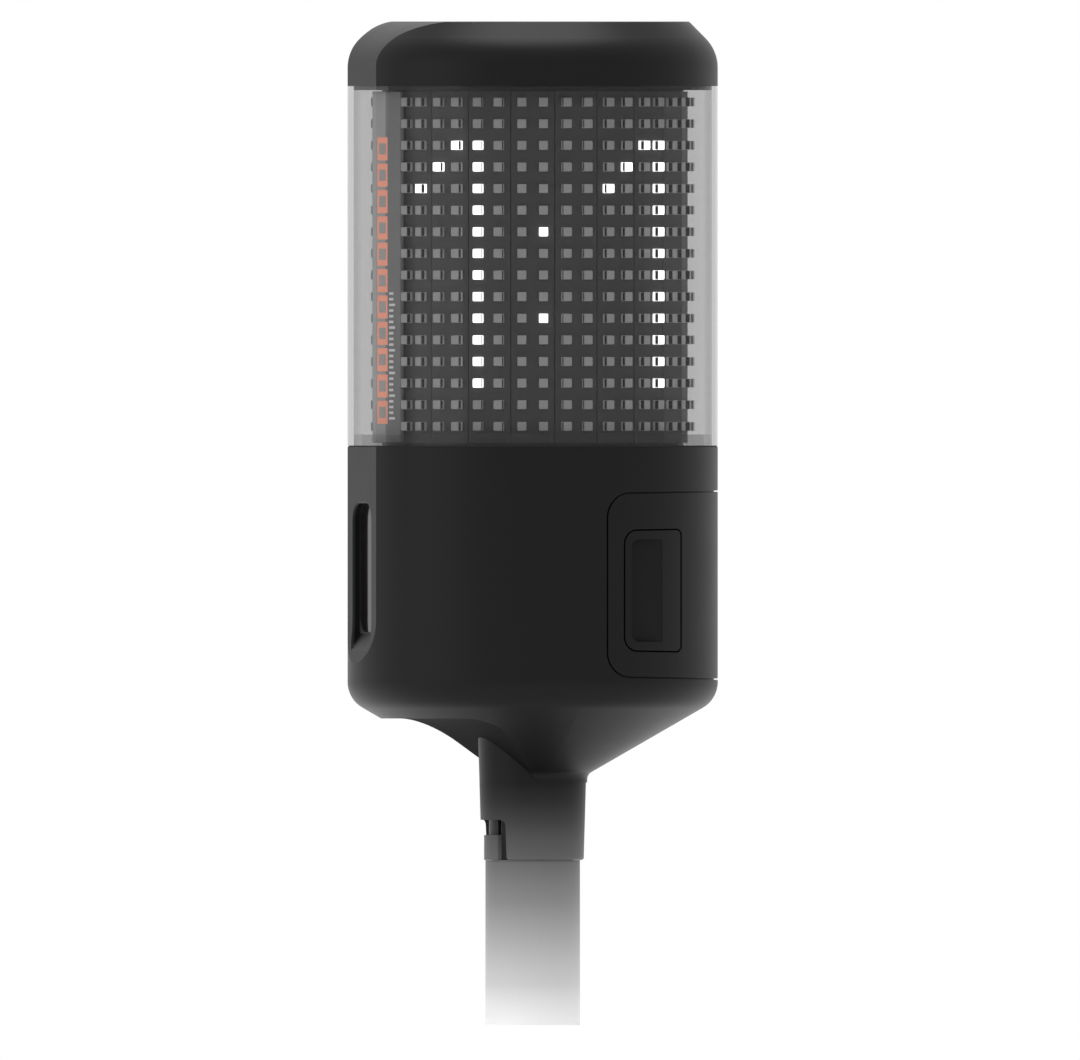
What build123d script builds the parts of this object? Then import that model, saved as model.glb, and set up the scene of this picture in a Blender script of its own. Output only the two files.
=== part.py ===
from build123d import *
import math
import os

# Timing-gate head on a pole. Millimetres, +Z up. The origin is on the pole's axis at its
# lower end, and the sensor window faces -Y. "Front" distances are measured towards -Y.

# ---- Pole ----
POLE_R = 17.5
POLE_WALL = 2.0
POLE_LENGTH = 60.4
PLUG_DEPTH = 30.0            # how far the spigot's plug goes down inside the tube
PLUG_SEAT = 0.3              # the plug's seat is reamed this much wider than the tube's bore
SPIGOT_STEP = 2.5            # how much slimmer the spigot is than the pole
SPIGOT_CHAMFER = 1.0
SPIGOT_LENGTH = 45.0         # above the thrust washer
GROOVE_LOW = 3.4             # groove for the catch, above the socket's lower edge
GROOVE_HEIGHT = 4.2
GROOVE_DEPTH = 1.5
WASHER_THICKNESS = 0.6

# ---- Socket at the foot of the head ----
SOCKET_GAP = 0.05            # running gap above the washer
SOCKET_LIP = 1.4             # how far the lower edge stands outside the pole
SOCKET_FLARE = 1.5           # how much wider the socket is at its top
SOCKET_HEIGHT = 31.65        # from the lower edge to the cone
SOCKET_EDGE_R = 1.0
BUSH_WALL = 1.95
BUSH_LENGTH = 46.0
RUN_CLEARANCE = 0.05         # radial, spigot in bush
SOCKET_FLOOR = 3.0           # thickness above the bush

# ---- Head ----
HEAD_R = 68.5
WALL = 2.6
CONE_SLOPE = 30.0            # degrees from level
CONE_FILLET = 3.0
DRUM_FILLET = 11.0
HOUSING_HEIGHT = 121.2       # cone foot to seam
FLAT_INSET = 2.6             # how far the front flat lies inside the drum's radius
RUN_OUT_R = 50.0             # arc that ends the flat at its foot
RUN_OUT_RISE = 57.2          # its start, above the cone foot
SCOOP_RISE = 20.7            # scoop ceiling above the cone foot
SCOOP_FRONT = 27.05          # where the sloping wall would meet the ceiling
SCOOP_R = 30.3
SCOOP_DEPTH_BELOW = 12.0     # cutter below the cone foot

# ---- Display ----
LED_PITCH = 8.0
LED_ROWS = 16
LED_SIZE = 3.3
LED_HEIGHT = 2.9
FACETS = 22
FRONT_FACETS = 2             # replaced by the flat label plate
CORE_GAP = 11.15             # drum radius less the core's corner radius
BOARD_THICKNESS = 1.6
CORE_BORE_GAP = 6.8          # core corner radius less its bore
ROW_TOP_MARGIN = 5.9         # cover's top edge to the first row
ROW_FOOT_MARGIN = 7.6        # last row to the cover's lower edge
BOARD_FOOT_GAP = 1.5         # LED boards and label plate above the deck
BOARD_HEAD_GAP = 0.5         # and below the core's top
BOARD_SIDE_GAP = 0.05
LABEL_PLATE_HALF = 18.5
LABEL_PLATE_THICKNESS = 1.5
LABEL_PLATE_SET = 2.35       # core corner radius less the plate's back plane

# ---- Clear cover and cap ----
COVER_WALL = 2.1
COVER_FLAT_WALL = 3.4
SEAL_THICKNESS = 0.5
JOIN = 0.5                   # how far a boss or rib runs into the wall that carries it
CUT = 1.0                    # how far a cutter runs past what it cuts
FIT_CLEARANCE = 0.2          # cover over the deck's rim and the cap's lip
RIM_WIDTH = 2.8
RIM_HEIGHT = 4.6
CAP_LIP = 1.5
CAP_HEIGHT = 23.9
CAP_CHAMFER = 6.2
CAP_SIDE = 6.7               # straight side below the cap's shoulder
CAP_SHOULDER_R = 15.5
CAP_FRONT_SPAN = 27.7        # the front run-over's half axis, level
CAP_FRONT_CREST = 0.3        # the run-over's crest would stand this far above the top face
CAP_FRONT_DROP = 16.65       # and upright
CAP_EDGE_R = 1.5
CAP_SHOULDER_IN = 4.4        # how far the shoulder's upper end lies inside the drum
CAP_LEAN = 0.415             # tan of half the shoulder's turn
CAP_LIP_RISE = 4.0           # the lip's root inside the cap
ROD_END = 8.5                # how far the rods reach into the cap
SEAL_SET = 0.3               # the seals' outer edges inside the drum

# ---- Deck, boards and fasteners inside ----
DECK_THICKNESS = 3.0
LEDGE_WIDTH = 5.0
LEDGE_HEIGHT = 3.0
DECK_BOSS_R = 4.5
DECK_BOSS_SET = 7.9          # deck bosses' circle inside the wall
DECK_BOSS_LENGTH = 12.0
BOSS_FLOOR = 2.0
SCREW_R = 1.5
SCREW_HEAD_R = 2.8
SCREW_HEAD = 1.8
SCREW_TIP_GAP = 1.0          # free depth beyond a screw's tip
SCREW_HOLE = 0.1             # radial clearance of a screw in a hole
ROD_CIRCLE = 44.0
ROD_R = 2.0
ROD_BOSS_R = 4.6
NUT_FLATS = 7.0
NUT_HEIGHT = 3.2
BOARD_DROP = 8.9             # deck underside to the main board
MAIN_BOARD_R = 52.0
BOARD_PARTS = (              # x, y, width, depth, height
    (-24.0, -8.0, 14.0, 14.0, 2.0),
    (20.0, -10.0, 18.0, 12.0, 2.4),
    (-20.0, -28.0, 8.0, 8.0, 2.8),
    (22.0, 8.0, 9.0, 7.0, 2.5),
)
ANTENNA_HALF = 12.0
ANTENNA_FRONT = 34.0
ANTENNA_DEPTH = 6.0
ANTENNA_HEIGHT = 4.0
STANDOFF_CIRCLE = 46.0
STANDOFF_R = 3.0
DRIVER_HALF = 32.0
DRIVER_SET = 8.0
DRIVER_HEIGHT = 116.0
RIBBON_HALF = 10.0
RIBBON_SLOT_HALF = 14.0
RIBBON_SLOT = 3.8
RIBBON_RISE = 30.0
RIBBON_THICKNESS = 0.4
BUZZER_R = 12.0
BUZZER_FRONT = 27.0
BUZZER_PORT_R = 1.5
BUZZER_PORT = 2.0
BUZZER_HEIGHT = 8.0

# ---- Optics ----
WINDOW_HALF = 11.6
WINDOW_FOOT = 52.7           # above the cone foot
WINDOW_HEIGHT = 47.5
WINDOW_CORNER = 6.9
WINDOW_EDGE_R = 1.0          # rounding where the recess meets the flat
WINDOW_SEAL = 0.4            # gasket between the wall and the window plate
WINDOW_PLATE = 2.0
WINDOW_LAP = 2.9             # plate's edge beyond the opening
WINDOW_PLATE_GAP = 0.3       # below the plate
RAMP_HEIGHT = 8.5
RAMP_CORNER = 8.0
RAMP_RISE = 5.3              # how far forward the ramp comes over its height
CARRIER_HALF = 13.0
CARRIER_LENGTH = 16.5
LENS_R = 8.0
LENS_CURVE_R = 14.0
LENS_THICKNESS = 3.9
LENS_SET = 0.1               # the lens's crown behind the carrier's front
LENS_SHOULDER = 1.5          # how much narrower the carrier's bore is behind a lens
LENS_SPACING = 25.0
FLANGE_HALF = 21.5
FLANGE_SET = 3.5             # the flange's front behind the carrier's front
FLANGE_THICKNESS = 2.5
LENS_MARGIN = 2.0            # carrier beyond a lens
OPTIC_BOSS_R = 3.0
OPTIC_SCREW_DEPTH = 3.5
OPTIC_SCREW_X = 18.0
OPTIC_SCREW_MARGIN = 4.0

# ---- Battery module ----
DOOR_FRONT = 8.9             # y of the door's front edge
DOOR_FOOT = 36.1             # above the cone foot
DOOR_MARGIN = 2.75           # door beyond the battery tray, above and below
DOOR_CORNER = 9.25
DRAFT = 0.85                 # degrees, each long edge opens towards the back
SEAM = 0.5
CELL_R = 9.2
CELL_LENGTH = 65.0
CELL_PITCH = 19.5
CELL_ROWS = 3
CELL_SIDE_GAP = 0.5
CELL_END_GAP = 1.5           # room for the contacts
TRAY_WALL = 2.0
TRAY_CLEARANCE = 0.05        # tray's rear corners inside the door
TRAY_FRONT = 13.2
CONTACT_R = 4.0
CONTACT_THICKNESS = 0.8
CONTACT_GAP = 0.05
CONTACT_PIN_R = 1.5
CONTACT_BLOCK_HALF = 14.0
CONTACT_BLOCK_DEPTH = 5.0
POWER_BOARD_SET = 9.7        # the board's front before the tray's lid
POWER_BOARD_HALF = 18.0
POWER_BOARD_DROP = 22.0
LID_THICKNESS = 1.5
TRAY_SCREW_X = 24.0
TRAY_SCREW = 5.5
TRAY_BOSS_R = 3.5
TRAY_BOSS_BORE = 4.0
CELL_LIFT = 0.2              # the cells sit this far off the lid's side
CONTACT_SPACING = 15.0

# ---- Squeeze latches ----
LATCH_FRONT = 16.1
LATCH_LENGTH = 24.7
LATCH_FOOT = 9.9             # above the door's lower edge
LATCH_HEAD = 13.9            # below the door's upper edge
LATCH_FRONT_CORNER = 5.0
LATCH_REAR_CORNER = 2.0
SMALLEST_CORNER = 0.3        # inside corners of a shrunk outline
LATCH_DEPTH = 19.5           # drum radius less the paddle's inner plane
LATCH_LIP = 1.2
LATCH_LIP_THICKNESS = 1.0
LATCH_SKIN = 7.5             # drum radius less the pocket's radius
LATCH_SPRING_R = 3.0
LATCH_SPRING_WIRE = 0.4
LATCH_SPRING_TURNS = 6
LATCH_SPRING_SEAT = 4.0      # outer end, inside the paddle
LATCH_SPRING_PLACE = 0.4     # share of the paddle's length from its front
GRIP_MARGIN = 2.7
GRIP_LENGTH = 13.4
GRIP_END_MARGIN = 3.1
GRIP_CORNER = 3.0
GRIP_SINK = 0.15             # the floor's depth where it runs out
EDGE_R = 0.3                 # outer edges along the seams
SEAT_LAP = 2.0               # door seat: how far it reaches behind the door's edge
SEAT_WIDTH = 3.0             # and how far beyond the opening
DOOR_LAP_SKIN = 0.9          # the door's thickness where it laps over its seat
DOOR_LAP_GAP = 0.4           # between the seat and the door's full thickness
DOOR_SEAL = 0.55
SEAL_CLEARANCE = 0.05
SEAT_DEPTH = 3.0

# ---- Catch and power button ----
CATCH_HALF = 8.4
CATCH_HEIGHT = 9.25
CATCH_PROUD = 0.5            # how far the tab stands outside the pole
CATCH_SLACK = 0.4
NOTCH_HALF = 12.9
NOTCH_HEIGHT = 14.85
NOTCH_CORNER = 2.0
NOSE_HALF = 4.0
NOSE_SLACK = 0.5
BLADE_SET = 0.7              # spring blade outside the spigot
BLADE_THICKNESS = 0.5
BLADE_HALF = 6.0
BUTTON_R = 5.0
BUTTON_SET = 0.5             # the button's face above the scoop's ceiling
BUTTON_FRONT = 46.5
BUTTON_SLACK = 0.2
BUTTON_TRAVEL = 1.2
BUTTON_EDGE_R = 0.6
BUTTON_FLANGE = 1.2          # width of the flange that keeps it in
BUTTON_FLANGE_GAP = 0.2
STEM_R = 1.6
STEM_HEIGHT = 1.0            # also the thickness of the flange
BUTTON_SPRING_R = 5.2
BUTTON_SPRING_WIRE = 0.3
BUTTON_SPRING_TURNS = 3
SWITCH_GAP = 0.1
SWITCH_HALF = 3.0
SWITCH_BOARD_HALF = 12.0
SWITCH_BOARD_DEPTH = 8.0
SWITCH_POST_R = 2.5
SWITCH_POST_X = 9.5
SWITCH_RISE = 6.0            # switch board above the scoop wall

# ---- Levels and radii that follow ----
WASHER_TOP = POLE_LENGTH + WASHER_THICKNESS
PLUG_R = POLE_R - POLE_WALL + PLUG_SEAT
SPIGOT_R = POLE_R - SPIGOT_STEP
CATCH_OUT = POLE_R + CATCH_PROUD
SOCKET_Z = WASHER_TOP + SOCKET_GAP
CONE_Z = SOCKET_Z + SOCKET_HEIGHT
SOCKET_R = POLE_R + SOCKET_LIP
CONE_R = SOCKET_R + SOCKET_FLARE * 0.9
SPLIT_Z = CONE_Z - CONE_FILLET     # where the socket's sleeve meets the housing
BUSH_BORE = SPIGOT_R + RUN_CLEARANCE
BUSH_R = BUSH_BORE + BUSH_WALL
BUSH_TOP = SOCKET_Z + BUSH_LENGTH
FLOOR_Z = BUSH_TOP + SOCKET_FLOOR
TAN = math.tan(math.radians(CONE_SLOPE))
SHOULDER_Z = CONE_Z + (HEAD_R - CONE_R) * TAN
SCOOP_Z = CONE_Z + SCOOP_RISE
SEAM_Z = CONE_Z + HOUSING_HEIGHT
COVER_HEIGHT = (LED_ROWS - 1) * LED_PITCH + ROW_TOP_MARGIN + ROW_FOOT_MARGIN
CAP_Z = SEAM_Z + COVER_HEIGHT
TOP_Z = CAP_Z + CAP_HEIGHT
FLAT_Y = HEAD_R - FLAT_INSET
INNER_R = HEAD_R - WALL
DECK_BOSS_CIRCLE = INNER_R - DECK_BOSS_SET
COVER_INNER = HEAD_R - COVER_WALL
COVER_FLAT = FLAT_Y - COVER_FLAT_WALL
RIM_R = COVER_INNER - FIT_CLEARANCE
RIM_FLAT = COVER_FLAT - FIT_CLEARANCE
DECK_Z = SEAM_Z - DECK_THICKNESS
BOARD_Z = DECK_Z - BOARD_DROP - BOARD_THICKNESS
CORE_R = HEAD_R - CORE_GAP
FACET = 360.0 / FACETS
APOTHEM = CORE_R * math.cos(math.radians(FACET / 2))
FRAME_APOTHEM = APOTHEM - BOARD_THICKNESS
CORE_TOP = CAP_Z - CAP_LIP
FIRST_ROW = CAP_Z - ROW_TOP_MARGIN
PLATE_BACK = CORE_R - LABEL_PLATE_SET
WINDOW_Z = CONE_Z + WINDOW_FOOT
WINDOW_TOP = WINDOW_Z + WINDOW_HEIGHT
WINDOW_MID = (WINDOW_Z + WINDOW_TOP) / 2
WINDOW_Y = FLAT_Y - WALL - WINDOW_SEAL
CARRIER_FRONT = WINDOW_Y - WINDOW_PLATE - FIT_CLEARANCE
CARRIER_BACK = CARRIER_FRONT - CARRIER_LENGTH
TRAY_HALF_Z = CELL_PITCH * (CELL_ROWS - 1) / 2 + CELL_R + CELL_SIDE_GAP + TRAY_WALL
DOOR_HEIGHT = 2 * (TRAY_HALF_Z + DOOR_MARGIN)
DOOR_Z = CONE_Z + DOOR_FOOT
DOOR_MID = DOOR_Z + DOOR_HEIGHT / 2
LATCH_Z = DOOR_Z + LATCH_FOOT
LATCH_HEIGHT = DOOR_HEIGHT - LATCH_FOOT - LATCH_HEAD
LATCH_X = HEAD_R - LATCH_DEPTH
CELL_HALF = CELL_LENGTH / 2
TRAY_X = CELL_HALF + CELL_END_GAP + TRAY_WALL
LID_FRONT = TRAY_FRONT - LID_THICKNESS
CELL_BACK = TRAY_FRONT + TRAY_WALL + 2 * CELL_R + CELL_PITCH
TRAY_BACK = CELL_BACK + TRAY_WALL
SWITCH_BOARD_Z = SCOOP_Z + WALL + SWITCH_RISE
BUTTON_FLANGE_Z = SCOOP_Z + WALL + BUTTON_FLANGE_GAP
REACH = 2 * HEAD_R           # longer than anything that a cutter must cross
SQUARE = (45, 135, 225, 315)
THIRDS = (90, 210, 330)

FRONT_VIEW = Plane((0, 0, 0), x_dir=(1, 0, 0), z_dir=(0, -1, 0))
NOSE_VIEW = Plane((0, 0, 0), x_dir=(0, -1, 0), z_dir=(-1, 0, 0))   # across: front distance


# ---- Small tools ----
def outline(*corners):
    """A flat face; each corner is (across, up) or (across, up, rounding)."""
    face = make_face(Polyline(*[corner[:2] for corner in corners], close=True))
    for across, up, rounding in (c for c in corners if len(c) == 3):
        point = face.vertices().sort_by_distance((across, up, 0))[0]
        face = fillet(point, rounding)
    return face


def turned(*corners):
    """A solid turned about Z from (radius, height) corners."""
    return revolve(Plane.XZ * outline(*corners), Axis.Z)


def through(plane, face):
    """A face drawn in a plane, drawn out both ways past everything."""
    return extrude(plane * face, REACH, both=True)


def block(x, y, z):
    """A box from (low, high) pairs."""
    size = [high - low for low, high in (x, y, z)]
    middle = [(low + high) / 2 for low, high in (x, y, z)]
    return Pos(*middle) * Box(*size)


def rod(radius, low, high, x=0.0, y=0.0):
    return Pos(x, y, (low + high) / 2) * Cylinder(radius, high - low)


def rod_y(radius, low, high, x, z):
    """A round bar along Y."""
    return Pos(x, (low + high) / 2, z) * Rot(90, 0, 0) * Cylinder(radius, high - low)


def ring(outer, inner, low, high):
    return rod(outer, low, high) - rod(inner, low, high)


def behind(front):
    """Everything further back than a front distance."""
    return block((-REACH, REACH), (-front, REACH), (-REACH, 3 * REACH + TOP_Z))


def around(radius, angles):
    """Points on a circle, as (x, y)."""
    turn = [math.radians(angle) for angle in angles]
    return [(radius * math.cos(a), radius * math.sin(a)) for a in turn]


def coil(radius, wire, length, turns):
    """A round-wire spring standing on Z = 0."""
    path = Helix((length - 2 * wire) / turns, length - 2 * wire, radius)
    section = Plane(path @ 0, z_dir=path % 0) * Circle(wire)
    return Pos(0, 0, wire) * sweep(section, path=path, is_frenet=True)


def screw(low, high, x, y):
    """A pan-head screw, head up, that reaches from low to high under its head."""
    return rod(SCREW_R, low, high, x, y) + rod(SCREW_HEAD_R, high, high + SCREW_HEAD, x, y)


def screw_y(tip, seat, x, z):
    """A pan-head screw along Y; its head is on the seat's far side from the tip."""
    head = seat + math.copysign(SCREW_HEAD, seat - tip)
    shank = rod_y(SCREW_R, min(tip, seat), max(tip, seat), x, z)
    return shank + rod_y(SCREW_HEAD_R, min(seat, head), max(seat, head), x, z)


# ---- Shared outlines ----
def edges_on_drum(shape, low, high, front):
    """Edges that lie on the drum's wall, between two heights and behind a front."""
    found = []
    for edge in shape.edges():
        points = [edge @ at for at in (0, 0.25, 0.5, 0.75, 1)]
        if all(
            abs(math.hypot(point.X, point.Y) - HEAD_R) < SMALLEST_CORNER / 4
            and low < point.Z < high
            and point.Y > front
            for point in points
        ):
            found.append(edge)
    return found


def side_limit(inset):
    """What lies behind the front flat, its run-out and the cap's front run-over."""
    flat = FLAT_Y - inset
    centre = TOP_Z - CAP_FRONT_DROP
    foot = CONE_Z + RUN_OUT_RISE
    out = HEAD_R + 3.0
    drop = math.sqrt(RUN_OUT_R**2 - (RUN_OUT_R - (out - FLAT_Y)) ** 2)
    crest = CAP_FRONT_DROP + CAP_FRONT_CREST - inset
    over = EllipticalCenterArc(
        (FLAT_Y - CAP_FRONT_SPAN, centre),
        CAP_FRONT_SPAN - inset,
        crest,
        start_angle=0,
        arc_size=90,
    )
    if inset:
        foot_line = Polyline((-REACH, 0), (flat, 0), (flat, centre))
    else:
        straight = Polyline((-REACH, 0), (out, 0), (out, foot - drop))
        run_out = RadiusArc((out, foot - drop), (flat, foot), RUN_OUT_R)
        foot_line = straight + run_out + Line((flat, foot), (flat, centre))
    crown = centre + crest
    top = Polyline((FLAT_Y - CAP_FRONT_SPAN, crown), (-REACH, crown), (-REACH, 0))
    return through(NOSE_VIEW, make_face(foot_line + over + top))


def scoop(grow):
    """The relief under the front, larger by grow all round."""
    ceiling = SCOOP_Z + grow
    corner = SCOOP_FRONT - grow * (math.sqrt(2) - 1)
    low = CONE_Z - SCOOP_DEPTH_BELOW
    face = outline(
        (corner - (ceiling - low), low),
        (corner, ceiling, SCOOP_R + grow),
        (REACH, ceiling),
        (REACH, low),
    )
    return through(NOSE_VIEW, face)


def door_outline(grow):
    """The door seen from the side, as (y, z)."""
    front, back = DOOR_FRONT - grow, REACH
    spread = (back - front) * math.tan(math.radians(DRAFT))
    low, high = DOOR_Z - grow, DOOR_Z + DOOR_HEIGHT + grow
    corner = DOOR_CORNER + grow
    return outline(
        (front, low, corner), (front, high, corner), (back, high + spread), (back, low - spread)
    )


def latch_outline(grow):
    """A latch paddle seen from the side, as (y, z)."""
    front, back = LATCH_FRONT - grow, LATCH_FRONT + LATCH_LENGTH + grow
    spread = (back - front) * math.tan(math.radians(DRAFT))
    low, high = LATCH_Z - grow, LATCH_Z + LATCH_HEIGHT + grow
    front_r = max(LATCH_FRONT_CORNER + grow, SMALLEST_CORNER)
    rear_r = max(LATCH_REAR_CORNER + grow, SMALLEST_CORNER)
    return outline(
        (front, low, front_r),
        (front, high, front_r),
        (back, high + spread, rear_r),
        (back, low - spread, rear_r),
    )


def window_outline(grow, low=WINDOW_Z, corner=WINDOW_CORNER):
    """The sensor window seen from the front, as (x, z)."""
    half = WINDOW_HALF + grow
    return outline(
        (-half, low - grow, corner + grow),
        (half, low - grow, corner + grow),
        (half, WINDOW_TOP + grow, WINDOW_CORNER + grow),
        (-half, WINDOW_TOP + grow, WINDOW_CORNER + grow),
    )


def slab(face, near, far):
    """A front-view face between two front distances."""
    return extrude(FRONT_VIEW.offset(near) * face, far - near)


# ---- Pole ----
def pole_tube():
    tube = ring(POLE_R, POLE_R - POLE_WALL, 0, POLE_LENGTH)
    return tube - rod(PLUG_R, POLE_LENGTH - PLUG_DEPTH, POLE_LENGTH + CUT)


def pole_spigot():
    plug = rod(PLUG_R, POLE_LENGTH - PLUG_DEPTH, POLE_LENGTH)
    spigot = rod(SPIGOT_R, POLE_LENGTH, WASHER_TOP + SPIGOT_LENGTH)
    low = SOCKET_Z + GROOVE_LOW
    groove = ring(SPIGOT_R + CUT, SPIGOT_R - GROOVE_DEPTH, low, low + GROOVE_HEIGHT)
    top = spigot.edges().sort_by(Axis.Z)[-1]
    return plug + chamfer(top, SPIGOT_CHAMFER) - groove


def thrust_washer():
    return ring(POLE_R, SPIGOT_R + RUN_CLEARANCE, POLE_LENGTH, WASHER_TOP)


# ---- Lower housing ----
def socket_body():
    top_r = SOCKET_R + SOCKET_FLARE
    return turned(
        (0, SOCKET_Z), (SOCKET_R, SOCKET_Z, SOCKET_EDGE_R), (top_r, SCOOP_Z), (0, SCOOP_Z)
    )


def drum():
    return turned(
        (0, CONE_Z - CONE_FILLET),
        (CONE_R - 0.1, CONE_Z - CONE_FILLET),
        (CONE_R, CONE_Z, CONE_FILLET),
        (HEAD_R, SHOULDER_Z, DRUM_FILLET),
        (HEAD_R, SEAM_Z),
        (0, SEAM_Z),
    )


def housing_cavity():
    rise = WALL / math.cos(math.radians(CONE_SLOPE))
    core_r = SOCKET_R + SOCKET_FLARE + WALL * 0.8
    cavity = turned(
        (0, FLOOR_Z),
        (core_r, FLOOR_Z),
        (core_r, CONE_Z + (core_r - CONE_R) * TAN + rise),
        (INNER_R, SHOULDER_Z + rise - WALL * TAN, DRUM_FILLET - WALL),
        (INNER_R, SEAM_Z),
        (0, SEAM_Z),
    )
    return (cavity & side_limit(WALL)) - scoop(WALL)


def deck_ledge():
    """Ring and bosses just under the seam, which carry the deck."""
    low = DECK_Z - LEDGE_HEIGHT
    ledge = ring(INNER_R + JOIN, INNER_R - LEDGE_WIDTH, low, DECK_Z)
    for x, y in around(DECK_BOSS_CIRCLE, SQUARE):
        ledge += rod(DECK_BOSS_R, DECK_Z - DECK_BOSS_LENGTH, DECK_Z, x, y)
    for x, y in around(DECK_BOSS_CIRCLE, SQUARE):
        ledge -= rod(SCREW_R, DECK_Z - DECK_BOSS_LENGTH + BOSS_FLOOR, DECK_Z, x, y)
    return ledge & side_limit(WALL / 2)


def optic_screws_at():
    rise = LENS_SPACING / 2 + LENS_R - OPTIC_SCREW_MARGIN / 2
    return [(x, WINDOW_MID + z) for x in (-OPTIC_SCREW_X, OPTIC_SCREW_X) for z in (-rise, rise)]


def optic_bosses():
    seat = CARRIER_FRONT - FLANGE_SET
    tip = seat + OPTIC_SCREW_DEPTH + JOIN
    bosses = [
        rod_y(OPTIC_BOSS_R, -(FLAT_Y - WALL + JOIN), -seat, x, z) - rod_y(SCREW_R, -tip, -seat, x, z)
        for x, z in optic_screws_at()
    ]
    return Part() + bosses


def ramp_pad():
    """Thickens the wall behind the ramp under the window."""
    half = WINDOW_HALF + WALL
    face = outline(
        (-half, WINDOW_Z - RAMP_HEIGHT - WALL),
        (half, WINDOW_Z - RAMP_HEIGHT - WALL),
        (half, WINDOW_Z - WINDOW_LAP - WINDOW_PLATE_GAP),
        (-half, WINDOW_Z - WINDOW_LAP - WINDOW_PLATE_GAP),
    )
    return slab(face, WINDOW_Y - WALL, FLAT_Y - WALL + JOIN)


def window_cut():
    opening = slab(window_outline(0), WINDOW_Y - WALL, REACH)
    low = WINDOW_Z - RAMP_HEIGHT
    slope = through(
        NOSE_VIEW,
        outline(
            (WINDOW_Y, WINDOW_Z),
            (WINDOW_Y + RAMP_RISE, low),
            (REACH, low),
            (REACH, WINDOW_Z + WINDOW_CORNER),
            (WINDOW_Y, WINDOW_Z + WINDOW_CORNER),
        ),
    )
    ramp = slab(window_outline(0, low, RAMP_CORNER), WINDOW_Y, REACH) & slope
    return opening + ramp


def window_rim(shell):
    """The edges where the window's recess meets the flat."""
    found = []
    for edge in shell.edges():
        points = [edge @ at for at in (0, 0.5, 1)]
        if all(
            abs(point.Y + FLAT_Y) < SMALLEST_CORNER / 4
            and abs(point.X) < WINDOW_HALF + SEAM
            and WINDOW_Z - RAMP_HEIGHT < point.Z < WINDOW_TOP + SEAM
            for point in points
        ):
            found.append(edge)
    return found


def notch():
    face = outline(
        (-NOTCH_HALF, SOCKET_Z - CUT),
        (NOTCH_HALF, SOCKET_Z - CUT),
        (NOTCH_HALF, SOCKET_Z + NOTCH_HEIGHT, NOTCH_CORNER),
        (-NOTCH_HALF, SOCKET_Z + NOTCH_HEIGHT, NOTCH_CORNER),
    )
    return slab(face, SPIGOT_R / 2, REACH)


def switch_posts():
    foot = SCOOP_Z + WALL - JOIN
    sides = (-SWITCH_POST_X, SWITCH_POST_X)
    return [rod(SWITCH_POST_R, foot, SWITCH_BOARD_Z, x, -BUTTON_FRONT) for x in sides]


def door_seat():
    """A rim round the door's opening, set in behind the door's edge."""
    foot, top = DOOR_Z - 2 * SEAT_WIDTH, DOOR_Z + DOOR_HEIGHT + 2 * SEAT_WIDTH
    beyond = door_outline(SEAT_WIDTH) - door_outline(SEAM / 2)
    behind_edge = door_outline(SEAM / 2) - door_outline(-SEAT_LAP)
    inner = INNER_R - SEAT_DEPTH
    rim = ring(INNER_R + JOIN, inner, foot, top) & through(Plane.YZ, beyond)
    face = HEAD_R - DOOR_LAP_SKIN - DOOR_SEAL - SEAL_CLEARANCE
    step = ring(face, inner, foot, top) & through(Plane.YZ, behind_edge)
    return rim + step


def pole_socket():
    """The tapered sleeve that takes the pole, below the cone."""
    sleeve = socket_body() & rod(HEAD_R, 0, SPLIT_Z)
    return sleeve - rod(BUSH_R, SOCKET_Z - CUT, SPLIT_Z + CUT) - notch()


def lower_housing():
    outer = (drum() & side_limit(0)) - scoop(0) + (socket_body() - rod(HEAD_R, 0, SPLIT_Z))
    shell = outer - (housing_cavity() - socket_body())
    shell -= rod(BUSH_R, SOCKET_Z - CUT, BUSH_TOP)
    shell += deck_ledge()
    shell += optic_bosses()
    shell += ramp_pad()
    shell += switch_posts()
    shell -= window_cut()
    shell = fillet(window_rim(shell), WINDOW_EDGE_R)
    shell -= through(Plane.YZ, door_outline(SEAM / 2))
    low, high = DOOR_Z - DOOR_CORNER, DOOR_Z + DOOR_HEIGHT + DOOR_CORNER
    shell = fillet(edges_on_drum(shell, low, high, DOOR_FRONT - DOOR_CORNER), EDGE_R)
    shell += door_seat()
    hole_r = BUTTON_R + BUTTON_SLACK
    return shell - rod(hole_r, SCOOP_Z - CUT, SCOOP_Z + WALL + CUT, 0, -BUTTON_FRONT)


def socket_bush():
    slot = block(
        (-CATCH_HALF - CATCH_SLACK, CATCH_HALF + CATCH_SLACK),
        (-BUSH_R - CUT, 0),
        (SOCKET_Z - CUT, SOCKET_Z + NOTCH_HEIGHT),
    )
    return ring(BUSH_R, BUSH_BORE, SOCKET_Z, BUSH_TOP) - slot


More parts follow.
